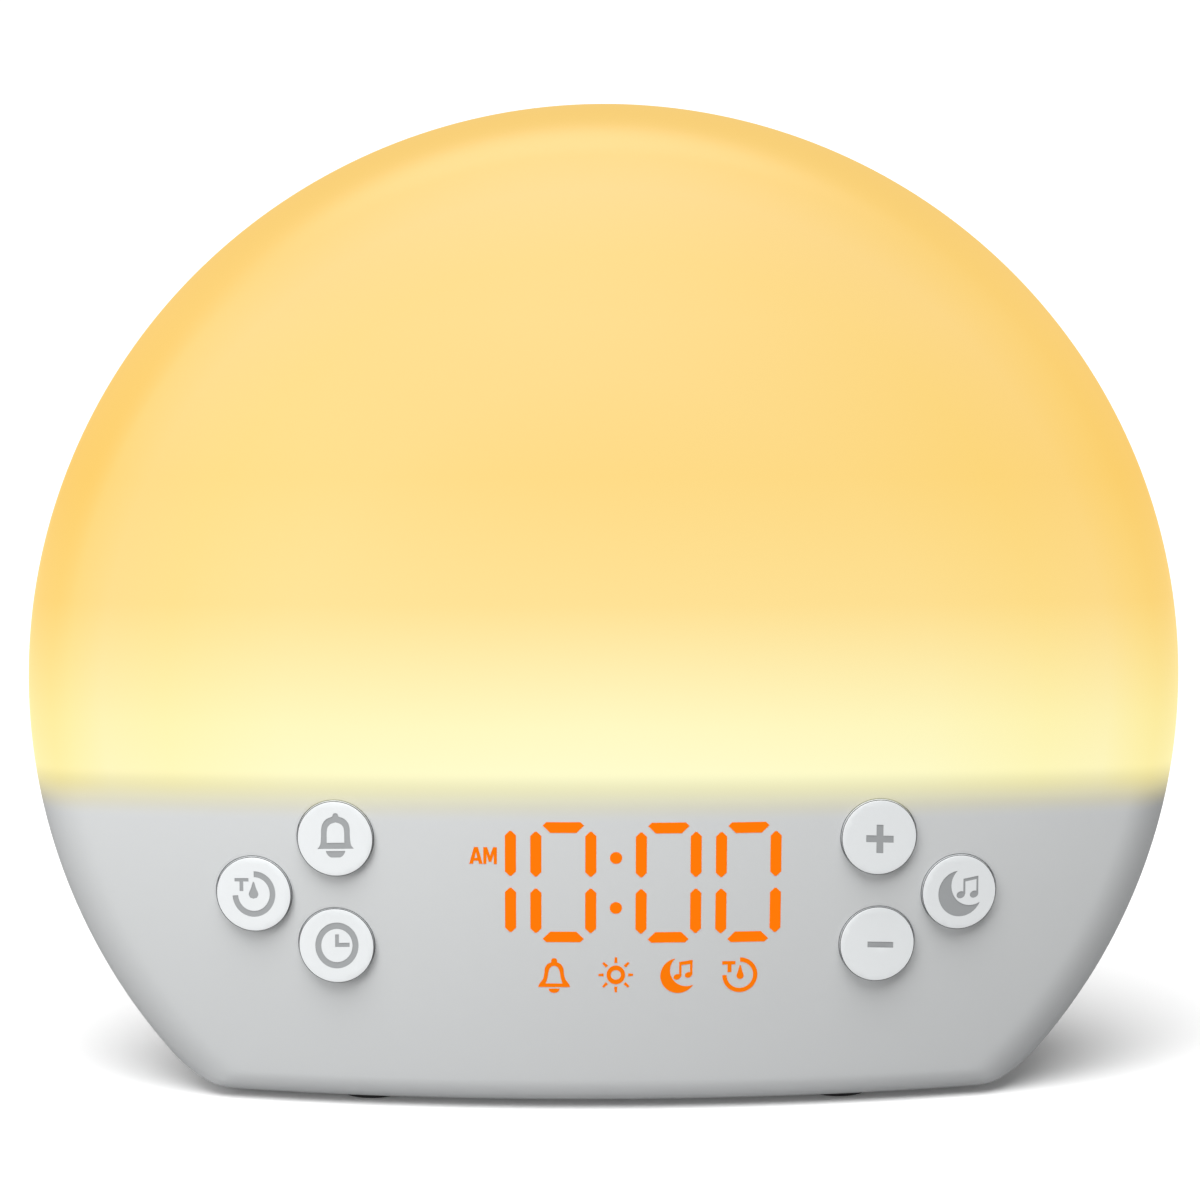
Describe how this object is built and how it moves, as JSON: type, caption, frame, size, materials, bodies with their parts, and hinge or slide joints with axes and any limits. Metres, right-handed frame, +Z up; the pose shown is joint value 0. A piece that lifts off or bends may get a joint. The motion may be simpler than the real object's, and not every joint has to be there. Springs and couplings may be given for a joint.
{
  "type": "sunrise alarm clock",
  "caption": "Round domed clock on a flat base, with a glowing front panel above a digital read-out and push buttons at both sides.",
  "frame": {"origin": "centre of the bounding box on the surface that the clock stands on", "axes": "+X to the right as seen from the front, +Y from the front to the back, +Z up"},
  "size_m": [0.187, 0.0756, 0.1605],
  "materials": {
    "milky_plastic": "satin, light-diffusing",
    "shell_plastic": "satin",
    "white_plastic": "glossy white",
    "white_board": "white solder mask",
    "led": "clear",
    "green_board": "solder mask",
    "dark_plastic": "moulded",
    "amber_lens": "translucent",
    "black_film": "printed film",
    "black_epoxy": "moulded",
    "capacitor_sleeve": "shrink sleeve",
    "black_plastic": "moulded",
    "nickel": "bright nickel",
    "connector_nylon": "natural nylon",
    "ribbon": "PVC",
    "red_lead": "PVC",
    "black_lead": "PVC",
    "steel_basket": "black zinc",
    "ferrite": "sintered",
    "paper_cone": "pressed paper",
    "rubber_surround": "moulded",
    "foam_gasket": "foam",
    "rubber_foot": "moulded",
    "button_plastic": "satin",
    "screw_steel": "zinc plated"
  },
  "bodies": {
    "case": {"front_shell": "milky_plastic", "rear_shell": "shell_plastic", "lamp_reflector": "white_plastic", "light_baffle": "white_plastic", "lamp_board": "white_board", "lamp_leds": "led", "display_board": "green_board", "display_block": "dark_plastic", "segment_lenses": "amber_lens", "display_leds": "led", "mask_film": "black_film", "key_switches": "dark_plastic", "main_board": "green_board", "controller_chip": "black_epoxy", "capacitors": "capacitor_sleeve", "power_socket": "black_plastic", "cell_holder": "black_plastic", "backup_cell": "nickel", "connectors": "connector_nylon", "ribbon_cable": "ribbon", "lamp_cable": "red_lead", "speaker_cable": "black_lead", "speaker_frame": "steel_basket", "speaker_magnet": "ferrite", "speaker_surround": "rubber_surround", "speaker_gasket": "foam_gasket", "rubber_feet": "rubber_foot", "case_screws": "screw_steel", "front_board_screws": "screw_steel", "main_board_screws": "screw_steel", "reflector_screws": "screw_steel", "baffle_screws": "screw_steel", "speaker_screws": "screw_steel"},
    "alarm_key": {"alarm_button": "button_plastic"},
    "timer_key": {"timer_button": "button_plastic"},
    "clock_key": {"clock_button": "button_plastic"},
    "plus_key": {"plus_button": "button_plastic"},
    "sleep_key": {"sleep_button": "button_plastic"},
    "minus_key": {"minus_button": "button_plastic"},
    "cone": {"speaker_cone": "paper_cone"}
  },
  "joints": [
    {"name": "alarm_press", "type": "slide", "parent": "case", "child": "alarm_key", "axis": [0, 1, 0], "range_m": [0, 0.0008], "stiffness_N_per_m": 400, "springref_m": -0.002},
    {"name": "timer_press", "type": "slide", "parent": "case", "child": "timer_key", "axis": [0, 1, 0], "range_m": [0, 0.0008], "stiffness_N_per_m": 400, "springref_m": -0.002},
    {"name": "clock_press", "type": "slide", "parent": "case", "child": "clock_key", "axis": [0, 1, 0], "range_m": [0, 0.0008], "stiffness_N_per_m": 400, "springref_m": -0.002},
    {"name": "plus_press", "type": "slide", "parent": "case", "child": "plus_key", "axis": [0, 1, 0], "range_m": [0, 0.0008], "stiffness_N_per_m": 400, "springref_m": -0.002},
    {"name": "sleep_press", "type": "slide", "parent": "case", "child": "sleep_key", "axis": [0, 1, 0], "range_m": [0, 0.0008], "stiffness_N_per_m": 400, "springref_m": -0.002},
    {"name": "minus_press", "type": "slide", "parent": "case", "child": "minus_key", "axis": [0, 1, 0], "range_m": [0, 0.0008], "stiffness_N_per_m": 400, "springref_m": -0.002},
    {"name": "cone_stroke", "type": "slide", "parent": "case", "child": "cone", "axis": [0, 1, 0], "range_m": [-0.0005, 0.0005], "stiffness_N_per_m": 1200}
  ]
}
